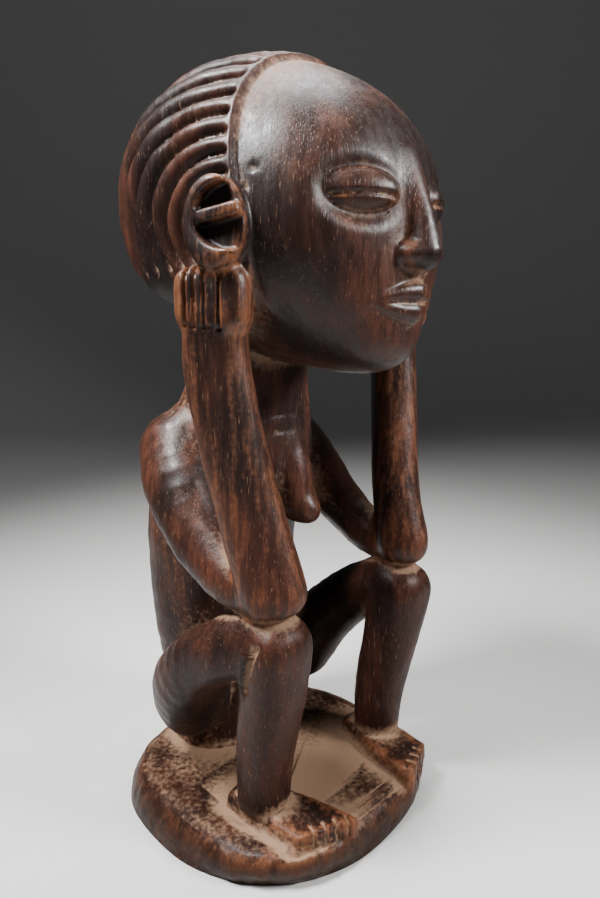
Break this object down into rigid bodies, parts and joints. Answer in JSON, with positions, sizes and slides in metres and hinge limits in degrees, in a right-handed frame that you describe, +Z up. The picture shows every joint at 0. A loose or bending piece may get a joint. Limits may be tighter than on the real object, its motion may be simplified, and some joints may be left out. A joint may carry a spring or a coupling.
{
  "type": "seated figure carving",
  "caption": "Carved wooden figure squatting on a low rounded base, elbows on knees, hands held to a large head with combed hair.",
  "frame": {"origin": "centre of the base's flat underside, which is the surface it stands on", "axes": "+Z up, -Y the way the face looks, +X towards the figure's left hand"},
  "size_m": [0.1606, 0.1763, 0.3773],
  "materials": {
    "carved_wood": "dark satin patina, worn reddish-brown on high places, tan dust in the recesses"
  },
  "bodies": {
    "root": {"ancestor_figure": "carved_wood"}
  },
  "joints": []
}
